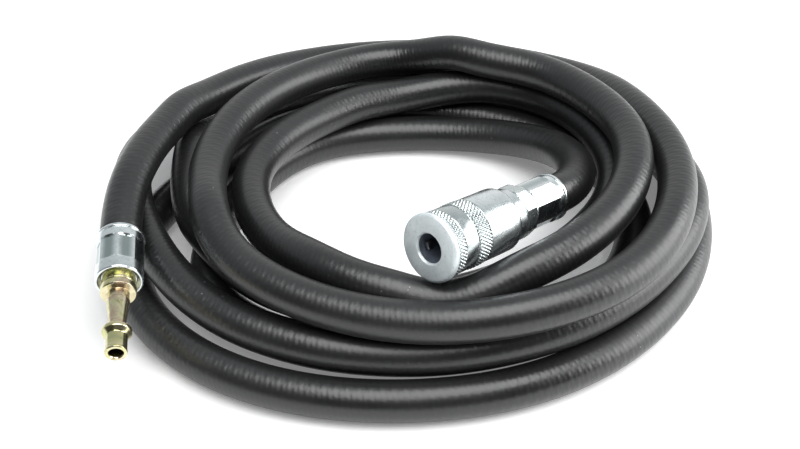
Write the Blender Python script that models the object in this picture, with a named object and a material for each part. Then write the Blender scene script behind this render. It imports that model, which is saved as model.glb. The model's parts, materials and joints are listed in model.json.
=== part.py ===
"""A coiled rubber air hose with a quick coupler on one end and a plug-in adaptor on the other.

The hose lies on the floor in six and a half turns.  Both fittings are held on by crimped ferrules.
Lengths below are in millimetres and are turned into metres where a mesh is made.
Each fitting has its own axis: 0 is its open end, and the numbers grow towards the hose.
"""
import math

import bmesh
import bpy
import numpy as np
from mathutils import Matrix, Vector

MM = 0.001
GAP = 0.3                    # clearance kept between pieces that touch on the real object
SIDES = 24                   # facets round every turned piece, a multiple of 8

# Where the coil stands: the middle of the floor under it is the middle of its box.
COIL_SHIFT = (13.5, 2.7)

# Hose
HOSE_RADIUS = 8.0
HOSE_BORE = 4.75
HOSE_SIDES = 8
TURN_PITCH = 16.5            # least distance between the centre lines of two turns
RESTING_GAP = 1.2            # between a fitting and the turns under it, more than a ring's sagitta
ROUTE_STEP = 6.0             # spacing of the points while the turns settle
RING_CLOCK = 12.0            # degrees of clock angle between two rings of the hose
CURVE_SAMPLES = 4000         # points read from the route's spline before they are spaced evenly
START_CLOCK = 135.0          # the coil is wound clockwise from here

# The route's own points: turns wound so far, distance from the coil's middle, height of the centre.
ROUTE = [
    (0.0, 104, 41), (0.0625, 97.5, 36), (0.125, 95, 30.6), (0.1875, 98, 24),
    (0.25, 99.4, 22.2), (0.375, 110, 25), (0.44, 109, 33), (0.5, 112.3, 38), (0.5625, 115.7, 39),
    (0.625, 115, 39), (0.6875, 107.5, 37.2), (0.75, 99.6, 34.8), (0.875, 91, 36.5),
    (1.0, 77.6, 37.5), (1.125, 75, 35), (1.25, 81, 33), (1.3, 77.3, 38),
    (1.335, 77.8, 40.3), (1.375, 84.5, 40), (1.44, 91, 41.7),
    (1.5, 95.5, 43.7), (1.5625, 95.3, 43),
    (1.625, 92, 41), (1.6875, 87.8, 37.6), (1.75, 82.3, 34.3), (1.875, 69.7, 31),
    (2.0, 61, 28), (2.125, 56, 25), (2.25, 64.5, 22.3), (2.375, 89.3, 23.2), (2.5, 91.5, 24.5),
    (2.625, 76, 21), (2.75, 74, 19.5), (2.81, 78, 19.5), (2.875, 83.5, 21.5), (2.94, 86.5, 24.4),
    (3.0, 89, 24.5), (3.0625, 94.5, 18.5),
    (3.125, 97, 9.5), (3.25, 90.5, 8), (3.375, 102, 10), (3.44, 110, 19.5),
    (3.5, 120.3, 23.4), (3.625, 111, 22.5), (3.75, 100.2, 18), (3.875, 105.5, 20.5),
    (3.945, 109, 24.5), (4.0, 113, 25.5), (4.125, 113.7, 8.6), (4.25, 107.5, 8), (4.375, 119, 8),
    (4.5, 124.8, 8), (4.625, 119, 8), (4.75, 113.8, 8), (4.875, 120, 8), (4.945, 116.5, 8),
    (5.0, 102, 8), (5.065, 85, 8), (5.125, 79, 8), (5.25, 73.5, 8), (5.375, 83, 8),
    (5.4375, 92, 8),
    (5.5, 99, 8), (5.5625, 100, 8), (5.625, 97, 8), (5.75, 87, 8), (5.875, 93.5, 8),
    (5.94, 84, 8), (6.0, 72, 8), (6.125, 61, 8), (6.25, 55.3, 8), (6.375, 66, 12), (6.45, 73, 22),
]

# Coupler: where the middle of its face is, and how its axis lies
COUPLER_FACE = (-50.8, -65.4, 54.0)
COUPLER_NOSE_UP = 11.6       # degrees that the open end points above level, towards -X
COUPLER_LENGTH = 71.2        # face to the ferrule's mouth
NOSE_RADIUS = 13.3
NOSE_THICKNESS = 3.0
SOCKET_FRONT = 1.6
SOCKET_BORE = 5.75
SOCKET_RADIUS = 7.6
SOCKET_END = 25.0
THROAT_FRONT = 14.6
PROBE_BORE = 4.35            # the narrow bore that the plug's tip slides into
SLEEVE_FRONT = NOSE_THICKNESS + GAP
SLEEVE_END = 38.9
SLEEVE_RADIUS = 12.6         # the plain parts
KNURL_RADIUS = 12.9          # the two knurled bands
KNURLED_BANDS = ((3.3, 7.0), (14.2, 21.0))
PAWL_RAMP = 0.36             # how far a pawl moves out for each millimetre the sleeve goes back
PAWL_COUNT = 3
PAWL_FRONT = 4.3
PAWL_BACK = 7.5
PAWL_WIDTH = 3.0
PAWL_TIP = 4.3
RAMP_END = 8.0
BODY_RADIUS = 10.7
BODY_FRONT = 17.3
BODY_END = 44.2
CHAMBER_RADIUS = 8.4
REAR_BORE = 9.2
SEAT_SHOULDER = 39.6
SEAT_THICKNESS = 1.1
NUT_FRONT = BODY_END + GAP
NUT_BACK = 50.5
NUT_CORNER = 10.9            # 20 mm across the flats
NUT_FLATS = 8
NUT_TURN = 8.0               # degrees about the coupler's axis

# Plug
PLUG_TIP = (-150.4, -7.3, 30.0)
PLUG_HEADING = 231.55        # degrees, the way the tip points
PLUG_DROP = 7.0              # degrees that the tip points below level
PLUG_LENGTH = 56.8           # tip to the ferrule's mouth
PLUG_BORE = 2.6
PLUG_COLLAR = 6.8
COLLAR_FRONT = 28.0
COLLAR_BACK = 31.1
TAIL_RING = 6.3              # radius of the tail's shoulder, which shows in front of the ferrule

# Crimped joints, the same on both ends
TAIL_BORE = 2.9
TAIL_STEM = 4.45
BARB_VALLEY = 3.9
BARB_PITCH = 6.0
BARB_LENGTH = 2.5            # plain stem before the first barb
CRIMP_FLATS = 8
FERRULE_WALL = 1.4
FERRULE_LIP = 8.2            # inner radius of the lip at the front of a ferrule
FERRULE_SEAT = 2.2           # how deep the front of a ferrule is countersunk
FERRULE_CUP = FERRULE_SEAT + 1.0
BEAD = 0.2                   # how far the bead at a ferrule's mouth stands out
COUPLER_FERRULE = 51.2       # front of the ferrule on the coupler's axis
COUPLER_FERRULE_CORNER = 9.45
COUPLER_CRIMP = (52.3, 66.5)
COUPLER_CRIMP_TURN = 12.0    # degrees about the coupler's axis
PLUG_FERRULE = 34.0          # front of the ferrule on the plug's axis
PLUG_FERRULE_CORNER = 9.15
PLUG_CRIMP = (39.5, 51.3)
PLUG_CRIMP_TURN = 0.0
SQUEEZED = 0.5               # how much thinner the hose's radius is inside a ferrule
LEAD = 4.0                   # straight hose outside each ferrule


# ---------------------------------------------------------------- materials

def material(name, colour, roughness, metallic):
    """A plain Principled material."""
    made = bpy.data.materials.new(name)
    made.use_nodes = True
    shader = made.node_tree.nodes["Principled BSDF"]
    shader.inputs["Base Color"].default_value = (*colour, 1.0)
    shader.inputs["Roughness"].default_value = roughness
    shader.inputs["Metallic"].default_value = metallic
    return made


def hose_rubber():
    return material("hose_rubber", (0.035, 0.037, 0.04), 0.5, 0.0)


def seal_rubber(name):
    return material(name, (0.015, 0.015, 0.017), 0.6, 0.0)


def bright_zinc(name):
    return material(name, (0.80, 0.84, 0.86), 0.25, 1.0)


def yellow_zinc(name):
    return material(name, (0.74, 0.68, 0.42), 0.28, 1.0)


def hard_steel(name):
    return material(name, (0.55, 0.56, 0.58), 0.35, 1.0)


def valve_brass(name):
    return material(name, (0.71, 0.55, 0.28), 0.35, 1.0)


# ---------------------------------------------------------------- mesh helpers

def make_object(name, mesh_data, finish, parent):
    """Turn a bmesh in millimetres into a named object under an empty."""
    bmesh.ops.recalc_face_normals(mesh_data, faces=mesh_data.faces)
    bmesh.ops.scale(mesh_data, vec=(MM, MM, MM), verts=mesh_data.verts)
    mesh = bpy.data.meshes.new(name)
    mesh_data.to_mesh(mesh)
    mesh_data.free()
    made = bpy.data.objects.new(name, mesh)
    bpy.context.scene.collection.objects.link(made)
    mesh.materials.append(finish)
    made.parent = parent
    mesh.shade_smooth()
    mesh.set_sharp_from_angle(angle=math.radians(30))
    return made


def flat_radius(corner, flats, angle):
    """Distance from the axis to a regular polygon's side in one direction; angle 0 is a corner."""
    wedge = 2 * math.pi / flats
    off_middle = angle % wedge - wedge / 2
    return corner * math.cos(wedge / 2) / math.cos(off_middle)


def ring_of(mesh_data, along, radius, flats=0):
    """One ring of vertices round the X axis, or a single vertex on it."""
    if radius == 0:
        return [mesh_data.verts.new((along, 0, 0))]
    ring = []
    for side in range(SIDES):
        angle = 2 * math.pi * side / SIDES
        reach = flat_radius(radius, flats, angle) if flats else radius
        ring.append(mesh_data.verts.new((along, reach * math.cos(angle), reach * math.sin(angle))))
    return ring


def join_rings(mesh_data, first, second):
    """Faces between two rings, or a fan where one of them is a point."""
    count = max(len(first), len(second))
    for side in range(count):
        after = (side + 1) % count
        if len(first) == 1:
            mesh_data.faces.new((first[0], second[side], second[after]))
        elif len(second) == 1:
            mesh_data.faces.new((first[side], second[0], first[after]))
        else:
            mesh_data.faces.new((first[side], second[side], second[after], first[after]))


def turned(name, outline, finish, parent):
    """A lathe piece.  The outline runs (along, radius) or (along, corner radius, flats).

    It closes on itself as a bore does, unless its ends lie on the axis.
    """
    mesh_data = bmesh.new()
    rings = [ring_of(mesh_data, *point) for point in outline]
    for first, second in zip(rings, rings[1:]):
        join_rings(mesh_data, first, second)
    if len(rings[0]) > 1:
        join_rings(mesh_data, rings[-1], rings[0])
    return make_object(name, mesh_data, finish, parent)


def turn_about_axis(piece, degrees):
    """Turn a piece about its fitting's axis."""
    piece.matrix_local = Matrix.Rotation(math.radians(degrees), 4, "X")


def washer(name, front, back, inner, outer, finish, parent):
    """A plain ring of rectangular section."""
    outline = [(front, inner), (front, outer), (back, outer), (back, inner)]
    return turned(name, outline, finish, parent)


def cut(target, name, cutter_mesh, turn=None):
    """Cut a shape out of a piece with a Boolean, which is then applied."""
    cutter = make_object(name, cutter_mesh, target.data.materials[0], target.parent)
    if turn is not None:
        cutter.matrix_local = turn
    bpy.context.view_layer.update()
    modifier = target.modifiers.new(name, "BOOLEAN")
    modifier.operation = "DIFFERENCE"
    modifier.solver = "EXACT"
    modifier.object = cutter
    bpy.context.view_layer.objects.active = target
    bpy.ops.object.modifier_apply(modifier=modifier.name)
    bpy.data.objects.remove(cutter)


def block(low, high):
    """A box between two corners, as a bmesh."""
    mesh_data = bmesh.new()
    bmesh.ops.create_cube(mesh_data, size=1.0)
    for vert in mesh_data.verts:
        vert.co = Vector(b if c > 0 else a for a, b, c in zip(low, high, vert.co))
    return mesh_data


def coil_spring(name, front, back, mean_radius, wire, turns, finish, parent):
    """A helical spring round the X axis with cut ends."""
    steps = int(10 * turns)
    wire_sides = 5
    mesh_data = bmesh.new()
    rings = []
    for step in range(steps + 1):
        share = step / steps
        angle = 2 * math.pi * turns * share
        along = front + wire + (back - front - 2 * wire) * share
        ring = []
        for side in range(wire_sides):
            round_wire = 2 * math.pi * side / wire_sides
            reach = mean_radius + wire * math.cos(round_wire)
            height = along + wire * math.sin(round_wire)
            point = (height, reach * math.cos(angle), reach * math.sin(angle))
            ring.append(mesh_data.verts.new(point))
        rings.append(ring)
    for first, second in zip(rings, rings[1:]):
        join_rings(mesh_data, first, second)
    mesh_data.faces.new(rings[0])
    mesh_data.faces.new(list(reversed(rings[-1])))
    return make_object(name, mesh_data, finish, parent)


# ---------------------------------------------------------------- frames

def axis_empty(name, origin, into_hose, parent):
    """An empty at a fitting's open end with its X axis pointing towards the hose."""
    along = into_hose.normalized()
    across = Vector((0, 0, 1)).cross(along).normalized()
    upward = along.cross(across)
    turn = Matrix((along, across, upward)).transposed().to_4x4()
    empty = bpy.data.objects.new(name, None)
    bpy.context.scene.collection.objects.link(empty)
    empty.parent = parent
    empty.matrix_local = Matrix.Translation(Vector(origin) * MM) @ turn
    return empty


def coupler_direction():
    """From the coupler's face towards its hose."""
    tilt = math.radians(COUPLER_NOSE_UP)
    return Vector((math.cos(tilt), 0, -math.sin(tilt)))


def plug_direction():
    """From the plug's tip towards its hose."""
    tilt = math.radians(PLUG_DROP)
    heading = math.radians(PLUG_HEADING)
    level = math.cos(tilt)
    return Vector((-level * math.cos(heading), -level * math.sin(heading), math.sin(tilt)))


# ---------------------------------------------------------------- the hose's route

def on_axis(origin, direction, distance):
    return np.array(origin) + np.array(direction) * distance


def smooth_curve(points, start_slope, end_slope, samples):
    """A cubic spline through the points with given directions at both ends."""
    gaps = np.linalg.norm(np.diff(points, axis=0), axis=1)
    knots = np.concatenate([[0.0], np.cumsum(gaps)])
    count = len(points)
    slopes = np.diff(points, axis=0) / gaps[:, None]
    system = np.zeros((count, count))
    right = np.zeros((count, 3))
    for i in range(1, count - 1):
        system[i, i - 1:i + 2] = gaps[i - 1], 2 * (gaps[i - 1] + gaps[i]), gaps[i]
        right[i] = 6 * (slopes[i] - slopes[i - 1])
    system[0, :2] = 2 * gaps[0], gaps[0]
    right[0] = 6 * (slopes[0] - start_slope)
    system[-1, -2:] = gaps[-1], 2 * gaps[-1]
    right[-1] = 6 * (end_slope - slopes[-1])
    bend = np.linalg.solve(system, right)
    where = np.linspace(0.0, knots[-1], samples)
    cell = np.clip(np.searchsorted(knots, where, side="right") - 1, 0, count - 2)
    width = gaps[cell][:, None]
    left = (knots[cell + 1] - where)[:, None]
    done = (where - knots[cell])[:, None]
    cubic = (bend[cell] * left ** 3 + bend[cell + 1] * done ** 3) / (6 * width)
    from_left = (points[cell] / width - bend[cell] * width / 6) * left
    from_right = (points[cell + 1] / width - bend[cell + 1] * width / 6) * done
    return cubic + from_left + from_right


def even_points(points, step):
    """The same line with points spaced evenly along it."""
    run = np.concatenate([[0.0], np.cumsum(np.linalg.norm(np.diff(points, axis=0), axis=1))])
    places = np.linspace(0.0, run[-1], int(round(run[-1] / step)) + 1)
    return np.stack([np.interp(places, run, points[:, axis]) for axis in range(3)], axis=1)


def push_from_fittings(points, fittings):
    """How far each point must move to clear the coupler and the plug."""
    push = np.zeros_like(points)
    for start, end, clearance in fittings:
        along = end - start
        share = np.clip((points - start) @ along / (along @ along), 0, 1)[:, None]
        away = points - (start + share * along)
        distance = np.linalg.norm(away, axis=1)
        push += away / distance[:, None] * np.clip(clearance - distance, 0, None)[:, None]
    push[:4] = 0
    push[-4:] = 0
    return push


def settle(points, fittings, rounds=300, own_reach=8):
    """Let the turns push each other apart until they rest side by side and on each other.

    Points closer along the hose than own_reach don't push each other, and the ends stay put.
    """
    held = 5                 # points at each end that move less and less
    shares = 0.5, 0.7        # of an overlap, and of a fitting's push, taken in one round
    overshoot = 1.6
    done = 0.05              # largest overlap left
    points = points.copy()
    order = np.arange(len(points))
    apart = np.abs(order[:, None] - order[None]) > own_reach
    from_end = np.clip(np.minimum(order, order[::-1]) - 1, 0, None)
    hold = np.minimum(1.0, from_end / held)[:, None]
    for _ in range(rounds):
        between = points[:, None] - points[None]
        distance = np.linalg.norm(between, axis=2) + 1e-9
        overlap = np.where(apart, np.clip(TURN_PITCH - distance, 0, None), 0)
        clear_fittings = push_from_fittings(points, fittings)
        if max(overlap.max(), np.abs(clear_fittings).max()) < done:
            break
        push = (between / distance[..., None] * overlap[..., None]).sum(axis=1)
        touching = np.maximum(1, (overlap > 0).sum(axis=1))[:, None]
        move = shares[0] * push / touching + shares[1] * clear_fittings
        for _ in range(3):
            move[1:-1] = 0.25 * move[:-2] + 0.5 * move[1:-1] + 0.25 * move[2:]
        points += overshoot * move * hold
        points[:, 2] = np.maximum(points[:, 2], HOSE_RADIUS)
    return points


def hose_route():
    """The settled centre line from the plug's ferrule to the coupler's."""
    plug_way = np.array(plug_direction())
    coupler_way = np.array(coupler_direction())
    first = on_axis(PLUG_TIP, plug_way, PLUG_LENGTH + LEAD)
    last = on_axis(COUPLER_FACE, coupler_way, COUPLER_LENGTH + LEAD)
    wound = []
    for turns, radius, height in ROUTE:
        clock = math.radians(START_CLOCK - 360 * turns)
        wound.append((radius * math.cos(clock), radius * math.sin(clock), height))
    ends = plug_way, -coupler_way
    points = smooth_curve(np.array([first, *wound, last]), *ends, CURVE_SAMPLES)
    clearance = HOSE_RADIUS + RESTING_GAP
    fittings = [
        (on_axis(COUPLER_FACE, coupler_way, 0), on_axis(COUPLER_FACE, coupler_way, BODY_END),
         clearance + NOSE_RADIUS),
        (on_axis(COUPLER_FACE, coupler_way, BODY_END),
         on_axis(COUPLER_FACE, coupler_way, COUPLER_LENGTH), clearance + NUT_CORNER),
        (on_axis(PLUG_TIP, plug_way, 0), on_axis(PLUG_TIP, plug_way, PLUG_FERRULE),
         clearance + PLUG_COLLAR),
        (on_axis(PLUG_TIP, plug_way, PLUG_FERRULE), on_axis(PLUG_TIP, plug_way, PLUG_LENGTH),
         clearance + PLUG_FERRULE_CORNER + BEAD),
    ]
    return settle(even_points(points, ROUTE_STEP), fittings)


def ring_stations(route):
    """Points of the route at equal clock angles, so that turns lying together run parallel."""
    clear_of_first, clear_of_last = 1.2, 2.2      # steps kept free at the ends
    clock = np.degrees(np.unwrap(np.arctan2(route[:, 1], route[:, 0])))
    first = math.floor(clock[0] / RING_CLOCK) * RING_CLOCK
    angles = np.arange(first, clock[-1], -RING_CLOCK)
    places = np.interp(-angles, -clock, np.arange(len(route)))
    keep = (places > clear_of_first) & (places < len(route) - clear_of_last)
    return np.stack([np.interp(places[keep], np.arange(len(route)), route[:, axis])
                     for axis in range(3)], axis=1)


def hose(parent):
    """One tube from inside the plug's ferrule to inside the coupler's."""
    plug_way = np.array(plug_direction())
    coupler_way = np.array(coupler_direction())
    stations = ring_stations(hose_route())
    head = [on_axis(PLUG_TIP, plug_way, PLUG_FERRULE + FERRULE_CUP + GAP),
            on_axis(PLUG_TIP, plug_way, PLUG_LENGTH + GAP),
            on_axis(PLUG_TIP, plug_way, PLUG_LENGTH + LEAD)]
    tail = [on_axis(COUPLER_FACE, coupler_way, COUPLER_LENGTH + LEAD),
            on_axis(COUPLER_FACE, coupler_way, COUPLER_LENGTH + GAP),
            on_axis(COUPLER_FACE, coupler_way, COUPLER_FERRULE + FERRULE_CUP + GAP)]
    centres = np.array([*head, *stations, *tail])
    thin = HOSE_RADIUS - SQUEEZED
    outer = [thin, thin] + [HOSE_RADIUS] * (len(centres) - 4) + [thin, thin]
    ahead = np.gradient(centres, axis=0)
    ahead[0] = ahead[1] = plug_way
    ahead[-1] = ahead[-2] = -coupler_way
    bore_corner = HOSE_BORE / math.cos(math.pi / HOSE_SIDES)
    mesh_data = bmesh.new()
    skins = ([], [])
    for centre, direction, radius in zip(centres, ahead, outer):
        along = Vector(direction).normalized()
        across = along.cross(Vector((0, 0, 1))).normalized()
        upward = across.cross(along)
        for skin, reach in zip(skins, (radius, bore_corner)):
            ring = []
            for side in range(HOSE_SIDES):
                angle = 2 * math.pi * (side + 0.5) / HOSE_SIDES
                offset = across * math.cos(angle) + upward * math.sin(angle)
                ring.append(mesh_data.verts.new(Vector(centre) + offset * reach))
            skin.append(ring)
    for skin in skins:
        for first, second in zip(skin, skin[1:]):
            join_rings(mesh_data, first, second)
    for end in (0, -1):
        join_rings(mesh_data, skins[0][end], skins[1][end])
    return make_object("air_hose", mesh_data, hose_rubber(), parent)


# ---------------------------------------------------------------- crimped joint

def barbed_tail(front, end):
    """Outline of a tail that the hose is pushed over, from its root to its end and back."""
    outline = [(front, TAIL_STEM)]
    along = front + BARB_LENGTH
    while along + BARB_PITCH < end:
        outline += [(along, TAIL_STEM), (along, BARB_VALLEY)]
        along += BARB_PITCH
    outline += [(along, TAIL_STEM), (end, BARB_VALLEY), (end, TAIL_BORE)]
    return outline


def ferrule(name, front, end, corner, crimp, finish, parent):
    """A cup pressed onto the hose: a countersunk front, eight flats and a bead at its mouth."""
    wall = corner - FERRULE_WALL
    hole = TAIL_STEM + GAP
    seat = TAIL_RING + GAP
    cup = front + FERRULE_CUP
    outline = [
        (front + FERRULE_SEAT, hole), (front + FERRULE_SEAT, seat), (front + GAP, FERRULE_LIP - 0.2),
        (front, FERRULE_LIP), (front, corner - 0.5), (front + 0.5, corner),
        (crimp[0] - 0.3, corner), (crimp[0] + 0.3, corner, CRIMP_FLATS),
        (crimp[1] - 0.3, corner, CRIMP_FLATS), (crimp[1] + 0.3, corner),
        (end - 1.9, corner), (end - 1.7, corner + BEAD), (end - 0.5, corner + BEAD),
        (end, corner - 0.3), (end, wall), (cup, wall), (cup, hole),
    ]
    return turned(name, outline, finish, parent)


# ---------------------------------------------------------------- coupler

def nose_ring(parent):
    """The bevelled ring that makes the coupler's face and holds the sleeve on."""
    back = SOCKET_FRONT - GAP
    outline = [
        (0.5, SOCKET_BORE), (0, SOCKET_BORE + 0.5), (0, NOSE_RADIUS - 0.9),
        (0.9, NOSE_RADIUS), (NOSE_THICKNESS - 0.3, NOSE_RADIUS), (NOSE_THICKNESS, NOSE_RADIUS - 0.3),
        (NOSE_THICKNESS, SOCKET_RADIUS + GAP), (back, SOCKET_RADIUS + GAP), (back, SOCKET_BORE),
    ]
    return turned("coupler_nose_ring", outline, bright_zinc("nose_zinc"), parent)


def socket_tube(parent):
    """The fixed inner tube that takes the plug, with three slots for the pawls."""
    seal_front = 15.5
    seal_back = 17.3
    groove = SOCKET_BORE + 0.4
    outline = [
        (SOCKET_FRONT, SOCKET_BORE), (SOCKET_FRONT, SOCKET_RADIUS), (SOCKET_END, SOCKET_RADIUS),
        (SOCKET_END, PROBE_BORE), (seal_back, PROBE_BORE), (seal_back, groove),
        (seal_front, groove), (seal_front, PROBE_BORE), (THROAT_FRONT, PROBE_BORE),
        (THROAT_FRONT - 1.2, SOCKET_BORE),
    ]
    tube = turned("coupler_socket", outline, bright_zinc("socket_zinc"), parent)
    side = PAWL_WIDTH / 2 + GAP
    inside, outside = SOCKET_BORE / 2, SOCKET_RADIUS + 2
    for pawl in range(PAWL_COUNT):
        slot = block((PAWL_FRONT - GAP, -side, inside), (PAWL_BACK + GAP, side, outside))
        cut(tube, f"slot_{pawl + 1}", slot, Matrix.Rotation(pawl_angle(pawl), 4, "X"))
    washer("front_seal", seal_front + GAP, seal_back - GAP, PROBE_BORE - 0.1, groove - GAP,
           seal_rubber("front_seal_nitrile"), parent)


def pawl_angle(pawl):
    """Turn of one pawl about the coupler's axis, the first on top."""
    return 2 * math.pi * pawl / PAWL_COUNT


def ramp_radius(along):
    """Inside of the sleeve over the pawls: it widens towards the front."""
    return SOCKET_RADIUS + GAP + PAWL_RAMP * (RAMP_END - along)


def pawls(parent):
    """Three locking pawls whose sloping backs follow the sleeve's ramp."""
    half = PAWL_WIDTH / 2
    for pawl in range(PAWL_COUNT):
        mesh_data = block((PAWL_FRONT, -half, PAWL_TIP), (PAWL_BACK, half, PAWL_TIP + 1))
        for vert in mesh_data.verts:
            if vert.co.z > PAWL_TIP + 0.5:
                lift = ramp_radius(vert.co.x) - GAP
                vert.co.z = math.sqrt(lift ** 2 - half ** 2) - 0.1
        made = make_object(f"latch_pawl_{pawl + 1}", mesh_data, hard_steel("pawl_steel"), parent)
        made.matrix_local = Matrix.Rotation(pawl_angle(pawl), 4, "X")
        made.data.shade_flat()


def release_sleeve(parent):
    """The long sleeve that is pulled back to let the plug go, over a spring in its pocket."""
    web = RAMP_END + 1.0
    pocket = 10.0
    pocket_end = 13.0
    skirt = BODY_RADIUS + GAP
    outline = [(SLEEVE_FRONT, ramp_radius(SLEEVE_FRONT))]
    for front, back in KNURLED_BANDS:
        if front > SLEEVE_FRONT:
            outline.append((front, SLEEVE_RADIUS))
        outline += [(front, KNURL_RADIUS - 0.2), (front + 0.2, KNURL_RADIUS),
                    (back - 0.2, KNURL_RADIUS), (back, KNURL_RADIUS - 0.2), (back, SLEEVE_RADIUS)]
    outline += [
        (SLEEVE_END - 0.7, SLEEVE_RADIUS), (SLEEVE_END, SLEEVE_RADIUS - 0.9), (SLEEVE_END, skirt),
        (pocket_end, skirt), (pocket_end, pocket), (web, pocket), (web, SOCKET_RADIUS + GAP),
        (RAMP_END, SOCKET_RADIUS + GAP),
    ]
    turned("release_sleeve", outline, bright_zinc("sleeve_zinc"), parent)
    coil_spring("sleeve_spring", web + GAP, BODY_FRONT - GAP, 8.8, 0.5, 4,
                hard_steel("sleeve_spring_steel"), parent)


def body(parent):
    """The coupler's fixed body, which the sleeve slides on."""
    outline = [
        (BODY_FRONT, SOCKET_RADIUS + GAP), (BODY_FRONT, BODY_RADIUS - 0.4),
        (BODY_FRONT + 0.4, BODY_RADIUS), (BODY_END - 0.2, BODY_RADIUS),
        (BODY_END, BODY_RADIUS - 0.2), (BODY_END, REAR_BORE), (SEAT_SHOULDER, REAR_BORE),
        (SEAT_SHOULDER, CHAMBER_RADIUS), (SOCKET_END + GAP, CHAMBER_RADIUS),
        (SOCKET_END + GAP, SOCKET_RADIUS + GAP),
    ]
    turned("coupler_body", outline, bright_zinc("body_zinc"), parent)


def valve(parent):
    """The poppet that shuts off the air, with its seal, spring and spring seat."""
    tube = 3.9
    tube_bore = 2.9
    tube_front = 17.6
    head = SOCKET_END + 2 * GAP
    head_back = head + 3.0
    groove = head + 1.0
    groove_inner, groove_outer = 4.5, 6.7
    head_radius = 7.4
    boss = 3.5
    outline = [
        (head - 1.1, 0), (head - 1.1, tube_bore), (tube_front, tube_bore), (tube_front, tube),
        (head, tube), (head, groove_inner), (groove, groove_inner), (groove, groove_outer),
        (head, groove_outer), (head, head_radius), (head_back, head_radius), (head_back, boss),
        (head_back + 2, boss), (head_back + 2, 0),
    ]
    poppet = turned("valve_poppet", outline, valve_brass("poppet_brass"), parent)
    port_front, port_half = 22.4, 1.2
    port = block((port_front, -port_half, -6.0), (port_front + 2.0, port_half, 6.0))
    cut(poppet, "port", port)
    washer("valve_seal", SOCKET_END + GAP, groove - GAP, groove_inner + GAP, groove_outer - GAP,
           seal_rubber("valve_seal_nitrile"), parent)
    seat_front = SEAT_SHOULDER + GAP
    coil_spring("valve_spring", head_back + GAP, seat_front - GAP, 5.0, 0.5, 5,
                hard_steel("valve_spring_steel"), parent)
    washer("spring_seat", seat_front, seat_front + SEAT_THICKNESS, 3.2, REAR_BORE - GAP,
           hard_steel("spring_seat_steel"), parent)


def coupler_tail(parent):
    """The nut that closes the body, with the barbed tail behind it."""
    spigot = REAR_BORE - GAP
    front = SEAT_SHOULDER + SEAT_THICKNESS + 2 * GAP
    groove_front, groove_back = front + 0.7, front + 2.1
    groove = 7.6
    chamfer = 0.4
    neck = NUT_BACK + GAP
    outline = [
        (front, TAIL_BORE), (front, spigot), (groove_front, spigot), (groove_front, groove),
        (groove_back, groove), (groove_back, spigot), (NUT_FRONT, spigot),
        (NUT_FRONT, NUT_CORNER - chamfer, NUT_FLATS), (NUT_FRONT + chamfer, NUT_CORNER, NUT_FLATS),
        (NUT_BACK - chamfer, NUT_CORNER, NUT_FLATS), (NUT_BACK, NUT_CORNER - chamfer, NUT_FLATS),
        (NUT_BACK, TAIL_RING), (neck, TAIL_RING),
        *barbed_tail(neck, COUPLER_LENGTH - 1),
    ]
    tail = turned("coupler_tail", outline, bright_zinc("tail_zinc"), parent)
    turn_about_axis(tail, NUT_TURN)
    washer("body_seal", groove_front + GAP, groove_back - GAP, groove + GAP, spigot,
           seal_rubber("body_seal_nitrile"), parent)


def coupler(parent):
    axis = axis_empty("coupler_axis", COUPLER_FACE, coupler_direction(), parent)
    nose_ring(axis)
    socket_tube(axis)
    pawls(axis)
    release_sleeve(axis)
    body(axis)
    valve(axis)
    coupler_tail(axis)
    crimped = ferrule("coupler_ferrule", COUPLER_FERRULE, COUPLER_LENGTH, COUPLER_FERRULE_CORNER,
                      COUPLER_CRIMP, bright_zinc("coupler_ferrule_zinc"), axis)
    turn_about_axis(crimped, COUPLER_CRIMP_TURN)


# ---------------------------------------------------------------- plug

def plug_probe(parent):
    """The turned probe that goes into a coupler, with its locking collar and its big collar."""
    bevel = 0.3
    socket = TAIL_STEM - 0.25
    socket_front = COLLAR_FRONT + 0.6
    outline = [
        (bevel, PLUG_BORE), (0, PLUG_BORE + bevel), (0, 3.85), (bevel, 4.15), (1.0, 4.15),
        (1.2, 4.0), (7.6, 4.0), (9.2, 5.5), (10.6, 5.5), (10.9, 5.2), (10.9, 3.35),
        (16.1, 3.35), (24.2, 4.4), (24.6, 4.15), (COLLAR_FRONT, 4.15),
        (COLLAR_FRONT, PLUG_COLLAR - bevel), (COLLAR_FRONT + bevel, PLUG_COLLAR),
        (COLLAR_BACK - bevel, PLUG_COLLAR), (COLLAR_BACK, PLUG_COLLAR - bevel),
        (COLLAR_BACK, socket), (socket_front, socket), (socket_front, PLUG_BORE),
    ]
    turned("plug_probe", outline, yellow_zinc("probe_zinc"), parent)


def plug_tail(parent):
    """The shouldered tail that joins the probe to the hose."""
    front = COLLAR_FRONT + 0.6 + GAP
    shoulder = COLLAR_BACK + GAP
    shoulder_back = PLUG_FERRULE + FERRULE_SEAT - GAP
    spigot = TAIL_STEM - 0.25 - GAP
    outline = [
        (front, PLUG_BORE + 0.3), (front, spigot), (shoulder, spigot), (shoulder, TAIL_RING - 0.3),
        (shoulder + 0.3, TAIL_RING), (shoulder_back, TAIL_RING), (shoulder_back, TAIL_STEM),
        *barbed_tail(shoulder_back + 0.1, PLUG_LENGTH - 1),
    ]
    turned("plug_tail", outline, yellow_zinc("plug_tail_zinc"), parent)


def plug(parent):
    axis = axis_empty("plug_axis", PLUG_TIP, plug_direction(), parent)
    plug_probe(axis)
    plug_tail(axis)
    crimped = ferrule("plug_ferrule", PLUG_FERRULE, PLUG_LENGTH, PLUG_FERRULE_CORNER,
                      PLUG_CRIMP, bright_zinc("plug_ferrule_zinc"), axis)
    turn_about_axis(crimped, PLUG_CRIMP_TURN)


# ---------------------------------------------------------------- the whole assembly

def clear_scene():
    for leftover in list(bpy.data.objects):
        bpy.data.objects.remove(leftover)


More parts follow.
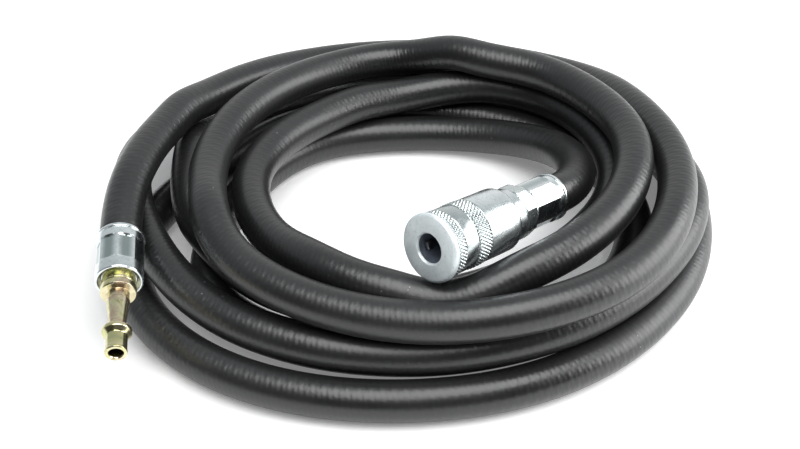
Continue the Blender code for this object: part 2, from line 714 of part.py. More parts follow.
def main():
    clear_scene()
    ground = bpy.data.objects.new("assembly", None)
    bpy.context.scene.collection.objects.link(ground)
    ground.location = Vector((*COIL_SHIFT, 0.0)) * MM
    hose(ground)
    coupler(ground)
    plug(ground)


main()
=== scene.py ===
"""The looks of a coiled rubber air hose with a quick coupler and a plug-in adaptor.

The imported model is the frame.  The hose and the turned fittings are rebuilt here at full detail on
the same axes, and so are the pawls, springs, seals and spring seat.  Only the coupler's inner tube
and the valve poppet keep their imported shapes, with better materials.
Lengths below are in millimetres unless a name says otherwise.
"""
import math

import bmesh
import bpy
import numpy as np
from mathutils import Matrix, Vector
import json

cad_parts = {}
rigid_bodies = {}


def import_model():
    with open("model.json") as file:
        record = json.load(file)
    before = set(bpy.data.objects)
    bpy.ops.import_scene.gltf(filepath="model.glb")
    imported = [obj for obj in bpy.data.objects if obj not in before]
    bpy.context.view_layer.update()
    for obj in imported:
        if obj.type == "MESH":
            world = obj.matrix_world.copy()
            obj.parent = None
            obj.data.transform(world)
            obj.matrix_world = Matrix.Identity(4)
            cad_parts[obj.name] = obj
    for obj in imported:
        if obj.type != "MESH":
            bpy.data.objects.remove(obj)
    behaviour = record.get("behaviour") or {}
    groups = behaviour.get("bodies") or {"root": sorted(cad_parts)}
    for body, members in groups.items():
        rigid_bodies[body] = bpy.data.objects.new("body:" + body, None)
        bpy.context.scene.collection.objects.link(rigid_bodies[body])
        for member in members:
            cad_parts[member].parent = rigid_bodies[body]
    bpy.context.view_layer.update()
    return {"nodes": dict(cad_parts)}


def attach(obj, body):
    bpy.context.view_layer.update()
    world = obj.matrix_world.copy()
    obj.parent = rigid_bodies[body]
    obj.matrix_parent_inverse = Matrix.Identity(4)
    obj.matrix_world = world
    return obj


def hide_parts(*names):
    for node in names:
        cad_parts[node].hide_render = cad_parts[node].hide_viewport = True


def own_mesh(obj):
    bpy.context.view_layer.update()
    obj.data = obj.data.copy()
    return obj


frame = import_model()

MM = 0.001
ROOT = "hose_and_fittings"
COIL_SHIFT = (13.5, 2.7, 0.0)    # from the middle of the winding to the frame's origin

# The fittings' axes, as the frame has them: 0 is a fitting's open end
COUPLER_FACE = (-50.8, -65.4, 54.0)
COUPLER_NOSE_UP = 11.6
COUPLER_LENGTH = 71.2
COUPLER_FERRULE = 51.2
PLUG_TIP = (-150.4, -7.3, 30.0)
PLUG_HEADING = 231.55
PLUG_DROP = 7.0
PLUG_LENGTH = 56.8
PLUG_FERRULE = 34.0
HOSE_RADIUS = 8.0
HOSE_BORE = 4.75
SQUEEZED = 0.5
GAP = 0.3
LEAD = 4.0
FERRULE_SEAT = 2.2
FERRULE_CUP = FERRULE_SEAT + 1.0
PLUG_FERRULE_CORNER = 9.15
BEAD = 0.2

# How the turns settle
TURN_PITCH = 16.5
RESTING_GAP = 1.2
ROUTE_STEP = 6.0
START_CLOCK = 135.0
NOSE_RADIUS = 13.3
BODY_END = 44.2
NUT_CORNER = 10.9
PLUG_COLLAR = 6.8

# The route's own points: turns wound so far, distance from the coil's middle, height of the centre.
# The distances began as measurements at even clock angles, and many were then moved.
ROUTE = [
    (0.0, 104, 41), (0.0625, 97.5, 36), (0.125, 95, 30.6), (0.1875, 98, 24),
    (0.25, 99.4, 22.2), (0.375, 110, 25), (0.44, 109, 33), (0.5, 112.3, 38), (0.5625, 115.7, 39),
    (0.625, 115, 39), (0.6875, 107.5, 37.2), (0.75, 99.6, 34.8), (0.875, 91, 36.5),
    (1.0, 77.6, 37.5), (1.125, 75, 35), (1.25, 81, 33), (1.3, 77.3, 38),
    (1.335, 77.8, 40.3), (1.375, 84.5, 40), (1.44, 91, 41.7),
    (1.5, 95.5, 43.7), (1.5625, 95.3, 43),
    (1.625, 92, 41), (1.6875, 87.8, 37.6), (1.75, 82.3, 34.3), (1.875, 69.7, 31),
    (2.0, 61, 28), (2.125, 56, 25), (2.25, 64.5, 22.3), (2.375, 89.3, 23.2), (2.5, 91.5, 24.5),
    (2.625, 76, 21), (2.75, 74, 19.5), (2.81, 78, 19.5), (2.875, 83.5, 21.5), (2.94, 86.5, 24.4),
    (3.0, 89, 24.5), (3.0625, 94.5, 18.5),
    (3.125, 97, 9.5), (3.25, 90.5, 8), (3.375, 102, 10), (3.44, 110, 19.5),
    (3.5, 120.3, 23.4), (3.625, 111, 22.5), (3.75, 100.2, 18), (3.875, 105.5, 20.5),
    (3.945, 109, 24.5), (4.0, 113, 25.5), (4.125, 113.7, 8.6), (4.25, 107.5, 8), (4.375, 119, 8),
    (4.5, 124.8, 8), (4.625, 119, 8), (4.75, 113.8, 8), (4.875, 120, 8), (4.945, 116.5, 8),
    (5.0, 102, 8), (5.065, 85, 8), (5.125, 79, 8), (5.25, 73.5, 8), (5.375, 83, 8),
    (5.4375, 92, 8),
    (5.5, 99, 8), (5.5625, 100, 8), (5.625, 97, 8), (5.75, 87, 8), (5.875, 93.5, 8),
    (5.94, 84, 8), (6.0, 72, 8), (6.125, 61, 8), (6.25, 55.3, 8), (6.375, 66, 12), (6.45, 73, 22),
]


# ---------------------------------------------------------------- camera, light and floor

CAMERA_HEADING = 45.0        # degrees from +Y towards +X that the camera looks
CAMERA_ELEVATION = 39.1
CAMERA_DISTANCE = 582.8
CAMERA_TARGET = (13.5, 2.7, -1.3)
CAMERA_LENS = 60.2


def camera():
    heading = math.radians(CAMERA_HEADING)
    elevation = math.radians(CAMERA_ELEVATION)
    level = math.cos(elevation)
    back = Vector((-level * math.sin(heading), -level * math.cos(heading), math.sin(elevation)))
    data = bpy.data.cameras.new("camera")
    data.lens = CAMERA_LENS
    data.sensor_width = 36
    made = bpy.data.objects.new("camera", data)
    bpy.context.scene.collection.objects.link(made)
    made.location = (Vector(CAMERA_TARGET) + back * CAMERA_DISTANCE) * MM
    made.rotation_euler = (-back).to_track_quat("-Z", "Y").to_euler()
    bpy.context.scene.camera = made


def area_light(name, place, aim, size, watts):
    data = bpy.data.lights.new(name, "AREA")
    data.shape = "RECTANGLE"
    data.size, data.size_y = size
    data.energy = watts
    made = bpy.data.objects.new(name, data)
    bpy.context.scene.collection.objects.link(made)
    made.location = place
    made.rotation_euler = (Vector(aim) - Vector(place)).to_track_quat("-Z", "Y").to_euler()


def surroundings():
    """A studio that is dark behind the camera, pale overhead and at the back."""
    world = bpy.data.worlds.new("studio")
    world.use_nodes = True
    tree = world.node_tree
    backdrop = tree.nodes["Background"]
    backdrop.inputs["Strength"].default_value = 1.0
    direction = tree.nodes.new("ShaderNodeTexCoord").outputs["Generated"]
    turned = tree.nodes.new("ShaderNodeMapping")
    turned.vector_type = "POINT"
    turned.inputs["Rotation"].default_value = (0, 0, math.radians(CAMERA_HEADING))
    tree.links.new(direction, turned.inputs["Vector"])
    parts = tree.nodes.new("ShaderNodeSeparateXYZ")
    tree.links.new(turned.outputs[0], parts.inputs[0])
    depth = tree.nodes.new("ShaderNodeMapRange")
    depth.inputs["From Min"].default_value = -1.0
    tree.links.new(parts.outputs["Y"], depth.inputs["Value"])
    ramp = tree.nodes.new("ShaderNodeValToRGB")
    tree.links.new(depth.outputs[0], ramp.inputs["Fac"])
    stops = [(0.0, (0.03, 0.03, 0.03)), (0.30, (0.06, 0.06, 0.065)), (0.46, (0.45, 0.47, 0.48)),
             (0.58, (0.33, 0.37, 0.38)), (0.78, (0.55, 0.58, 0.59)), (1.0, (0.95, 0.95, 0.95))]
    elements = ramp.color_ramp.elements
    while len(elements) < len(stops):
        elements.new(0.5)
    for element, (place, colour) in zip(elements, stops):
        element.position = place
        element.color = (*colour, 1)
    tree.links.new(ramp.outputs["Color"], backdrop.inputs["Color"])
    bpy.context.scene.world = world


def studio():
    surroundings()
    bpy.context.scene.view_settings.view_transform = "Standard"
    area_light("right", (0.62, -0.62, 0.36), (0, 0, 0.02), (0.9, 0.62), 9)
    area_light("overhead", (-0.12, -0.3, 1.1), (0, 0, 0), (1.2, 0.9), 16)
    bpy.ops.mesh.primitive_plane_add(size=8)
    floor = bpy.context.object
    floor.name = "floor"
    paper = bpy.data.materials.new("light_table")
    paper.use_nodes = True
    shader = paper.node_tree.nodes["Principled BSDF"]
    shader.inputs["Base Color"].default_value = (0.9, 0.9, 0.9, 1)
    shader.inputs["Roughness"].default_value = 0.7
    shader.inputs["Emission Color"].default_value = (1, 1, 1, 1)
    shader.inputs["Emission Strength"].default_value = 0.2
    floor.data.materials.append(paper)


# ---------------------------------------------------------------- the hose's route

def coupler_direction():
    tilt = math.radians(COUPLER_NOSE_UP)
    return np.array((math.cos(tilt), 0, -math.sin(tilt)))


def plug_direction():
    tilt = math.radians(PLUG_DROP)
    heading = math.radians(PLUG_HEADING)
    level = math.cos(tilt)
    return np.array((-level * math.cos(heading), -level * math.sin(heading), math.sin(tilt)))


def on_axis(origin, direction, distance):
    return np.array(origin) + direction * distance


def smooth_curve(points, start_slope, end_slope, samples):
    """A cubic spline through the points with given directions at both ends."""
    gaps = np.linalg.norm(np.diff(points, axis=0), axis=1)
    knots = np.concatenate([[0.0], np.cumsum(gaps)])
    count = len(points)
    slopes = np.diff(points, axis=0) / gaps[:, None]
    system = np.zeros((count, count))
    right = np.zeros((count, 3))
    for i in range(1, count - 1):
        system[i, i - 1:i + 2] = gaps[i - 1], 2 * (gaps[i - 1] + gaps[i]), gaps[i]
        right[i] = 6 * (slopes[i] - slopes[i - 1])
    system[0, :2] = 2 * gaps[0], gaps[0]
    right[0] = 6 * (slopes[0] - start_slope)
    system[-1, -2:] = gaps[-1], 2 * gaps[-1]
    right[-1] = 6 * (end_slope - slopes[-1])
    bend = np.linalg.solve(system, right)
    where = np.linspace(0.0, knots[-1], samples)
    cell = np.clip(np.searchsorted(knots, where, side="right") - 1, 0, count - 2)
    width = gaps[cell][:, None]
    left = (knots[cell + 1] - where)[:, None]
    done = (where - knots[cell])[:, None]
    cubic = (bend[cell] * left ** 3 + bend[cell + 1] * done ** 3) / (6 * width)
    from_left = (points[cell] / width - bend[cell] * width / 6) * left
    from_right = (points[cell + 1] / width - bend[cell + 1] * width / 6) * done
    return cubic + from_left + from_right


def even_points(points, step):
    """The same line with points spaced evenly along it."""
    run = np.concatenate([[0.0], np.cumsum(np.linalg.norm(np.diff(points, axis=0), axis=1))])
    places = np.linspace(0.0, run[-1], int(round(run[-1] / step)) + 1)
    return np.stack([np.interp(places, run, points[:, axis]) for axis in range(3)], axis=1)


def push_from_fittings(points, fittings):
    """How far each point must move to clear the coupler and the plug."""
    push = np.zeros_like(points)
    for start, end, clearance in fittings:
        along = end - start
        share = np.clip((points - start) @ along / (along @ along), 0, 1)[:, None]
        away = points - (start + share * along)
        distance = np.linalg.norm(away, axis=1)
        push += away / distance[:, None] * np.clip(clearance - distance, 0, None)[:, None]
    push[:4] = 0
    push[-4:] = 0
    return push


def settle(points, fittings, rounds=300, own_reach=8):
    """Let the turns push each other apart until they rest side by side and on each other."""
    points = points.copy()
    order = np.arange(len(points))
    apart = np.abs(order[:, None] - order[None]) > own_reach
    hold = np.minimum(1.0, np.clip(np.minimum(order, order[::-1]) - 1, 0, None) / 5)[:, None]
    for _ in range(rounds):
        between = points[:, None] - points[None]
        distance = np.linalg.norm(between, axis=2) + 1e-9
        overlap = np.where(apart, np.clip(TURN_PITCH - distance, 0, None), 0)
        clear_fittings = push_from_fittings(points, fittings)
        if max(overlap.max(), np.abs(clear_fittings).max()) < 0.05:
            break
        push = (between / distance[..., None] * overlap[..., None]).sum(axis=1)
        touching = np.maximum(1, (overlap > 0).sum(axis=1))[:, None]
        move = 0.5 * push / touching + 0.7 * clear_fittings
        for _ in range(3):
            move[1:-1] = 0.25 * move[:-2] + 0.5 * move[1:-1] + 0.25 * move[2:]
        points += 1.6 * move * hold
        points[:, 2] = np.maximum(points[:, 2], HOSE_RADIUS)
    return points


def hose_route():
    """The settled centre line from just outside the plug's ferrule to the coupler's."""
    plug_way = plug_direction()
    coupler_way = coupler_direction()
    first = on_axis(PLUG_TIP, plug_way, PLUG_LENGTH + LEAD)
    last = on_axis(COUPLER_FACE, coupler_way, COUPLER_LENGTH + LEAD)
    wound = []
    for turns, radius, height in ROUTE:
        clock = math.radians(START_CLOCK - 360 * turns)
        wound.append((radius * math.cos(clock), radius * math.sin(clock), height))
    points = smooth_curve(np.array([first, *wound, last]), plug_way, -coupler_way, 4000)
    clearance = HOSE_RADIUS + RESTING_GAP
    fittings = [
        (on_axis(COUPLER_FACE, coupler_way, 0), on_axis(COUPLER_FACE, coupler_way, BODY_END),
         clearance + NOSE_RADIUS),
        (on_axis(COUPLER_FACE, coupler_way, BODY_END),
         on_axis(COUPLER_FACE, coupler_way, COUPLER_LENGTH), clearance + NUT_CORNER),
        (on_axis(PLUG_TIP, plug_way, 0), on_axis(PLUG_TIP, plug_way, PLUG_FERRULE),
         clearance + PLUG_COLLAR),
        (on_axis(PLUG_TIP, plug_way, PLUG_FERRULE), on_axis(PLUG_TIP, plug_way, PLUG_LENGTH),
         clearance + PLUG_FERRULE_CORNER + BEAD),
    ]
    return settle(even_points(points, ROUTE_STEP), fittings)


# ---------------------------------------------------------------- node helpers

class Shade:
    """Short names for building a material's node tree."""

    def __init__(self, name):
        self.material = bpy.data.materials.new(name)
        self.material.use_nodes = True
        self.tree = self.material.node_tree
        self.shader = self.tree.nodes["Principled BSDF"]

    def node(self, kind, inputs=(), **settings):
        made = self.tree.nodes.new(kind)
        for key, value in settings.items():
            setattr(made, key, value)
        for key, value in dict(inputs).items():
            self.feed(made.inputs[key], value)
        return made

    def feed(self, socket, value):
        if isinstance(value, bpy.types.NodeSocket):
            self.tree.links.new(value, socket)
        else:
            socket.default_value = value

    def maths(self, operation, first, second=0.0, third=0.0):
        return self.node("ShaderNodeMath", {0: first, 1: second, 2: third},
                         operation=operation).outputs[0]

    def noise(self, where, scale, detail=3.0, roughness=0.5, distortion=0.0):
        inputs = {"Vector": where, "Scale": scale, "Detail": detail, "Roughness": roughness,
                  "Distortion": distortion}
        return self.node("ShaderNodeTexNoise", inputs).outputs["Fac"]

    def stretch(self, where, scale):
        return self.node("ShaderNodeMapping", {"Vector": where, "Scale": scale}).outputs[0]

    def remap(self, value, low, high, out_low=0.0, out_high=1.0):
        inputs = {"Value": value, "From Min": low, "From Max": high, "To Min": out_low,
                  "To Max": out_high}
        return self.node("ShaderNodeMapRange", inputs).outputs[0]

    def ramp(self, value, stops):
        made = self.node("ShaderNodeValToRGB", {"Fac": value})
        elements = made.color_ramp.elements
        while len(elements) < len(stops):
            elements.new(0.5)
        for element, (place, colour) in zip(elements, stops):
            element.position = place
            element.color = (*colour, 1)
        return made.outputs["Color"]

    def mix(self, share, first, second, blend="MIX"):
        made = self.node("ShaderNodeMix", data_type="RGBA", blend_type=blend)
        self.feed(made.inputs["Factor"], share)
        self.feed(made.inputs[6], first)
        self.feed(made.inputs[7], second)
        return made.outputs[2]

    def bump(self, height, distance, strength=1.0, under=None):
        made = self.node("ShaderNodeBump", {"Height": height, "Distance": distance,
                                            "Strength": strength})
        if under is not None:
            self.tree.links.new(under, made.inputs["Normal"])
        return made.outputs[0]

    def place(self):
        return self.node("ShaderNodeTexCoord").outputs["Object"]

    def set(self, **values):
        for key, value in values.items():
            self.feed(self.shader.inputs[key.replace("_", " ")], value)
        return self.material


# ---------------------------------------------------------------- materials

def hose_material():
    """Black rubber with the print of the cloth it was wrapped in, chalk specks and scuffs."""
    shade = Shade("wrapped_rubber")
    wrap = shade.node("ShaderNodeAttribute", attribute_name="wrap").outputs["Vector"]
    parts = shade.node("ShaderNodeSeparateXYZ", {0: wrap})
    along, around = parts.outputs["X"], parts.outputs["Y"]
    place = shade.place()
    wobble = shade.remap(shade.noise(place, 90.0, 2.0), 0.3, 0.7, -0.35, 0.35)
    ribs_at = shade.maths("ADD", shade.maths("MULTIPLY", along, 2 * math.pi / 0.0021),
                          shade.maths("MULTIPLY", around, 5.0))
    ribs = shade.maths("SINE", shade.maths("ADD", ribs_at, wobble))
    cross_at = shade.maths("SUBTRACT", shade.maths("MULTIPLY", around, 14.0),
                           shade.maths("MULTIPLY", along, 2 * math.pi / 0.0048))
    cross = shade.maths("SINE", cross_at)
    weave = shade.maths("MULTIPLY", ribs, shade.remap(cross, -1, 1, 0.35, 1.0))
    slow_at = shade.maths("SUBTRACT", shade.maths("MULTIPLY", along, 2 * math.pi / 0.0041),
                          shade.maths("MULTIPLY", around, 3.0))
    slow = shade.maths("SINE", slow_at)
    grain = shade.noise(place, 1400.0, 4.0, 0.6)
    patches = shade.noise(place, 22.0, 4.0, 0.55)
    normal = shade.bump(weave, 0.00010, 0.22)
    normal = shade.bump(slow, 0.00010, 0.2, normal)
    normal = shade.bump(grain, 0.00006, 0.5, normal)
    colour = shade.ramp(patches, [(0.3, (0.007, 0.0072, 0.0075)), (0.7, (0.013, 0.0132, 0.0135))])
    colour = shade.mix(shade.remap(weave, 0.2, 1.0, 0.0, 0.3), colour, (0.022, 0.023, 0.024, 1))
    specks = shade.node("ShaderNodeTexVoronoi", {"Vector": place, "Scale": 260.0})
    dots = shade.remap(specks.outputs["Distance"], 0.03, 0.09, 1.0, 0.0)
    dusty = shade.remap(shade.noise(place, 30.0, 3.0), 0.56, 0.66)
    chalk = shade.maths("MULTIPLY", dots, dusty)
    colour = shade.mix(shade.maths("MULTIPLY", chalk, 0.6), colour, (0.32, 0.33, 0.34, 1))
    lines = shade.noise(shade.stretch(wrap, (60.0, 6.0, 1.0)), 3.0, 6.0, 0.7)
    scuffs = shade.maths("MULTIPLY", shade.remap(lines, 0.64, 0.7), dusty)
    colour = shade.mix(shade.maths("MULTIPLY", scuffs, 0.35), colour, (0.2, 0.2, 0.205, 1))
    rough = shade.remap(patches, 0.3, 0.7, 0.30, 0.40)
    rough = shade.maths("ADD", rough, shade.maths("MULTIPLY", scuffs, 0.15))
    return shade.set(Base_Color=colour, Roughness=rough, Normal=normal, Specular_IOR_Level=0.7)


def recess_shade(shade, place, low, high, front, back):
    """How deep a spot lies under a turned surface, between two stations of its axis; the mask for
    painted shade in recesses.
    """
    parts = shade.node("ShaderNodeSeparateXYZ", {0: place})
    squares = [shade.maths("MULTIPLY", parts.outputs[axis], parts.outputs[axis]) for axis in "YZ"]
    radius = shade.maths("SQRT", shade.maths("ADD", *squares))
    depth = shade.remap(radius, low * MM, high * MM, 1.0, 0.0)
    behind = shade.remap(parts.outputs["X"], front * MM, (front + 0.4) * MM)
    before = shade.remap(parts.outputs["X"], (back - 0.4) * MM, back * MM, 1.0, 0.0)
    return shade.maths("MULTIPLY", depth, shade.maths("MULTIPLY", behind, before))


def plated_steel(name, tint, rough, fine=900.0, metallic=1.0, shaded_recess=None):
    """Zinc plate over turned steel: a cool sheen, faint turning lines and handling marks, and, where
    a recess is given, painted shade in it.
    """
    shade = Shade(name)
    place = shade.place()
    cloud = shade.noise(place, 160.0, 4.0, 0.6)
    mottle = shade.noise(place, 620.0, 4.0, 0.65)
    lines = shade.noise(shade.stretch(place, (5200.0, 60.0, 60.0)), 1.0, 2.0, 0.5)
    colour = shade.ramp(cloud, [(0.35, tuple(0.86 * c for c in tint)), (0.65, tint)])
    dull = tuple(c * share for c, share in zip(tint, (0.62, 0.68, 0.70)))
    colour = shade.mix(shade.remap(mottle, 0.50, 0.66, 0.0, 0.45), colour, (*dull, 1))
    marks = shade.remap(shade.noise(place, 420.0, 5.0, 0.75), 0.60, 0.68)
    colour = shade.mix(shade.maths("MULTIPLY", marks, 0.4), colour, (0.34, 0.38, 0.39, 1))
    if shaded_recess:
        # painted shade: spots lying deeper below the surface are darkened towards a flat grey
        low, high, front, back, shade_colour = shaded_recess
        colour = shade.mix(recess_shade(shade, place, low, high, front, back), colour, (*shade_colour, 1))
    roughness = shade.remap(cloud, 0.3, 0.7, rough, rough + 0.1)
    roughness = shade.maths("ADD", roughness, shade.maths("MULTIPLY", marks, 0.15))
    normal = shade.bump(shade.noise(place, fine, 3.0, 0.6), 0.00004, 0.4)
    normal = shade.bump(lines, 0.00001, 0.35, normal)
    return shade.set(Base_Color=colour, Roughness=roughness, Normal=normal, Metallic=metallic)


def yellow_plate():
    """Yellow passivated zinc: gold that drifts to olive and pink, with darker stains."""
    shade = Shade("yellow_zinc")
    place = shade.place()
    drift = shade.noise(shade.stretch(place, (1.0, 0.6, 0.6)), 120.0, 3.0, 0.6, 0.8)
    colour = shade.ramp(drift, [
        (0.30, (0.47, 0.52, 0.30)), (0.45, (0.64, 0.60, 0.31)), (0.55, (0.72, 0.67, 0.45)),
        (0.70, (0.62, 0.48, 0.35)),
    ])
    stains = shade.remap(shade.noise(place, 380.0, 5.0, 0.7), 0.55, 0.68)
    colour = shade.mix(shade.maths("MULTIPLY", stains, 0.5), colour, (0.22, 0.17, 0.06, 1))
    lines = shade.noise(shade.stretch(place, (5200.0, 60.0, 60.0)), 1.0, 2.0, 0.5)
    roughness = shade.remap(drift, 0.3, 0.7, 0.14, 0.26)
    normal = shade.bump(shade.noise(place, 1000.0, 3.0), 0.00004, 0.35)
    normal = shade.bump(lines, 0.00001, 0.35, normal)
    return shade.set(Base_Color=colour, Roughness=roughness, Normal=normal, Metallic=1.0)


def dark_bore():
    """The dark blue-grey inside of the socket."""
    shade = Shade("dark_bore")
    cloud = shade.noise(shade.place(), 300.0, 3.0)
    colour = shade.ramp(cloud, [(0.3, (0.09, 0.11, 0.14)), (0.7, (0.14, 0.16, 0.20))])
    normal = shade.bump(shade.noise(shade.place(), 1200.0, 2.0), 0.00003, 0.3)
    return shade.set(Base_Color=colour, Roughness=shade.remap(cloud, 0.3, 0.7, 0.35, 0.5),
                     Normal=normal, Metallic=0.2)


def nitrile():
    shade = Shade("nitrile")
    cloud = shade.noise(shade.place(), 500.0, 3.0)
    colour = shade.ramp(cloud, [(0.3, (0.012, 0.012, 0.014)), (0.7, (0.022, 0.022, 0.024))])
    normal = shade.bump(cloud, 0.00004, 0.3)
    return shade.set(Base_Color=colour, Roughness=shade.remap(cloud, 0.3, 0.7, 0.45, 0.6),
                     Normal=normal)


# ---------------------------------------------------------------- hose mesh

HOSE_FINE_STEP = 2.0
HOSE_FINE_SIDES = 40


def hose_line():
    """Centre points and radii of the whole tube, from inside one ferrule to inside the other."""
    plug_way = plug_direction()
    coupler_way = coupler_direction()
    route = hose_route()
    fine = smooth_curve(route, plug_way, -coupler_way, 12 * len(route))
    fine = even_points(fine, HOSE_FINE_STEP)
    thin = HOSE_RADIUS - SQUEEZED
    head = [(PLUG_FERRULE + FERRULE_CUP + GAP, thin), (PLUG_LENGTH - 4, thin),
            (PLUG_LENGTH - 0.5, thin), (PLUG_LENGTH + 0.6, thin + 0.12),
            (PLUG_LENGTH + 1.8, HOSE_RADIUS - 0.12)]
    tail = [(COUPLER_FERRULE + FERRULE_CUP + GAP, thin), (COUPLER_LENGTH - 4, thin),
            (COUPLER_LENGTH - 0.5, thin), (COUPLER_LENGTH + 0.6, thin + 0.12),
            (COUPLER_LENGTH + 1.8, HOSE_RADIUS - 0.12)]
    centres = [on_axis(PLUG_TIP, plug_way, distance) for distance, _ in head]
    centres += list(fine)
    centres += [on_axis(COUPLER_FACE, coupler_way, distance) for distance, _ in reversed(tail)]
    radii = [radius for _, radius in head] + [HOSE_RADIUS] * len(fine)
    radii += [radius for _, radius in reversed(tail)]
    return np.array(centres) + np.array(COIL_SHIFT), radii


def sweep_rings(mesh_data, centres, radii, sides):
    """Rings of vertices square to the line, all turned the same way up."""
    ahead = np.gradient(centres, axis=0)
    rings = []
    for centre, direction, radius in zip(centres, ahead, radii):
        along = Vector(direction).normalized()
        across = along.cross(Vector((0, 0, 1))).normalized()
        upward = across.cross(along)
        ring = []
        for side in range(sides):
            angle = 2 * math.pi * side / sides
            offset = across * math.cos(angle) + upward * math.sin(angle)
            ring.append(mesh_data.verts.new((Vector(centre) + offset * radius) * MM))
        rings.append(ring)
    return rings


def hose():
    centres, radii = hose_line()
    mesh_data = bmesh.new()
    outer = sweep_rings(mesh_data, centres, radii, HOSE_FINE_SIDES)
    inner = sweep_rings(mesh_data, centres[::4], [HOSE_BORE] * len(centres[::4]), HOSE_FINE_SIDES)
    inner_end = sweep_rings(mesh_data, centres[-2:], [HOSE_BORE] * 2, HOSE_FINE_SIDES)[-1]
    wrap = mesh_data.loops.layers.float_vector.new("wrap")
    run = np.concatenate([[0.0], np.cumsum(np.linalg.norm(np.diff(centres, axis=0), axis=1))]) * MM
    for index, (first, second) in enumerate(zip(outer, outer[1:])):
        for side in range(HOSE_FINE_SIDES):
            after = (side + 1) % HOSE_FINE_SIDES
            face = mesh_data.faces.new((first[side], second[side], second[after], first[after]))
            face.smooth = True
            spots = ((index, side), (index + 1, side), (index + 1, side + 1), (index, side + 1))
            for loop, (row, column) in zip(face.loops, spots):
                loop[wrap] = (run[row], 2 * math.pi * column / HOSE_FINE_SIDES, 0.0)
    skins = [*inner, inner_end]
    for first, second in zip(skins, skins[1:]):
        for side in range(HOSE_FINE_SIDES):
            after = (side + 1) % HOSE_FINE_SIDES
            face = mesh_data.faces.new((first[after], second[after], second[side], first[side]))
            face.smooth = True
    for outside, inside in ((outer[0], skins[0]), (outer[-1], skins[-1])):
        for side in range(HOSE_FINE_SIDES):
            after = (side + 1) % HOSE_FINE_SIDES
            mesh_data.faces.new((outside[side], outside[after], inside[after], inside[side]))
    bmesh.ops.delete(mesh_data, geom=[v for v in mesh_data.verts if not v.link_faces])
    bmesh.ops.recalc_face_normals(mesh_data, faces=mesh_data.faces)
    mesh = bpy.data.meshes.new("rubber_hose")
    mesh_data.to_mesh(mesh)
    mesh_data.free()
    made = bpy.data.objects.new("rubber_hose", mesh)
    bpy.context.scene.collection.objects.link(made)
    mesh.materials.append(hose_material())
    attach(made, ROOT)
    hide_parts("air_hose")
    return made, centres


# ---------------------------------------------------------------- turned pieces

LATHE_SIDES = 144
ROUNDING = 0.18              # softened corner on turned edges
CRIMP_FLATS = 8
KNURL_SIDES = 640
KNURL_COUNT = 56             # grooves each way round the sleeve
KNURL_SLANT = 2.2            # travel along the axis for one groove's pitch
KNURL_DEPTH = 0.5


def axis_matrix(origin, into_hose):
    """Places a mesh made round the X axis on a fitting, its X pointing towards the hose."""
    along = Vector(into_hose).normalized()
    across = Vector((0, 0, 1)).cross(along).normalized()
    upward = along.cross(across)
    turn = Matrix((along, across, upward)).transposed().to_4x4()
    return Matrix.Translation((Vector(origin) + Vector(COIL_SHIFT)) * MM) @ turn


COUPLER_AXIS = axis_matrix(COUPLER_FACE, coupler_direction())
PLUG_AXIS = axis_matrix(PLUG_TIP, plug_direction())


def rounded(outline, reach=ROUNDING, closed=True):
    """The outline with its corners turned into short arcs."""
    softened = []
    count = len(outline)
    for index, point in enumerate(outline):
        before, after = outline[index - 1], outline[(index + 1) % count]
        kinds = {tuple(other[2:]) for other in (before, point, after)}
        if len(kinds) > 1 or (not closed and index in (0, count - 1)):
            softened.append(point)
            continue
        here = Vector(point[:2])
        to_before, to_after = Vector(before[:2]) - here, Vector(after[:2]) - here
        straight = to_before.normalized().dot(to_after.normalized()) < -0.985
        if straight or min(to_before.length, to_after.length) < 0.05:
            softened.append(point)
            continue
        start = here + to_before.normalized() * min(reach, 0.4 * to_before.length)
        end = here + to_after.normalized() * min(reach, 0.4 * to_after.length)
        for share in (0.0, 0.25, 0.5, 0.75, 1.0):
            spot = start * (1 - share) ** 2 + here * 2 * share * (1 - share) + end * share ** 2
            softened.append((spot.x, spot.y, *point[2:]))
    return softened


def plain_reach(along, radius, angle, flats=0, ridge=0.0):
    """Distance from the axis: round, or a polygon whose corners are cut off by a circle."""
    if not flats:
        return radius
    wedge = 2 * math.pi / flats
    off_middle = angle % wedge - wedge / 2
    flat = radius * math.cos(wedge / 2) / math.cos(off_middle)
    edge = max(0.0, 1.0 - (wedge / 2 - abs(off_middle)) / math.radians(3.0))
    return flat + ridge * edge


def lathe(name, outline, finish, axis, sides=LATHE_SIDES, reach=plain_reach, sharp=32):
    """A turned piece whose outline closes on itself, or ends on the axis."""
    mesh_data = bmesh.new()
    rings = []
    for point in outline:
        along, radius = point[0], point[1]
        if radius == 0:
            rings.append([mesh_data.verts.new(Vector((along, 0, 0)) * MM)])
            continue
        ring = []
        for side in range(sides):
            angle = 2 * math.pi * side / sides
            far = reach(along, radius, angle, *point[2:])
            spot = Vector((along, far * math.cos(angle), far * math.sin(angle)))
            ring.append(mesh_data.verts.new(spot * MM))
        rings.append(ring)
    pairs = list(zip(rings, rings[1:]))
    if len(rings[0]) > 1:
        pairs.append((rings[-1], rings[0]))
    for first, second in pairs:
        for side in range(sides):
            after = (side + 1) % sides
            if len(first) == 1:
                mesh_data.faces.new((first[0], second[side], second[after]))
            elif len(second) == 1:
                mesh_data.faces.new((first[side], second[0], first[after]))
            else:
                mesh_data.faces.new((first[side], second[side], second[after], first[after]))
    return finish_mesh(name, mesh_data, finish, axis, sharp)


def finish_mesh(name, mesh_data, finish, axis, sharp=32):
    """Turn a bmesh into a smooth-shaded object with sharp creases where it bends hard."""
    bmesh.ops.recalc_face_normals(mesh_data, faces=mesh_data.faces)
    mesh = bpy.data.meshes.new(name)
    mesh_data.to_mesh(mesh)
    mesh_data.free()
    mesh.materials.append(finish)
    mesh.shade_smooth()
    mesh.set_sharp_from_angle(angle=math.radians(sharp))
    made = bpy.data.objects.new(name, mesh)
    bpy.context.scene.collection.objects.link(made)
    made.matrix_world = axis
    bpy.context.view_layer.update()
    return made


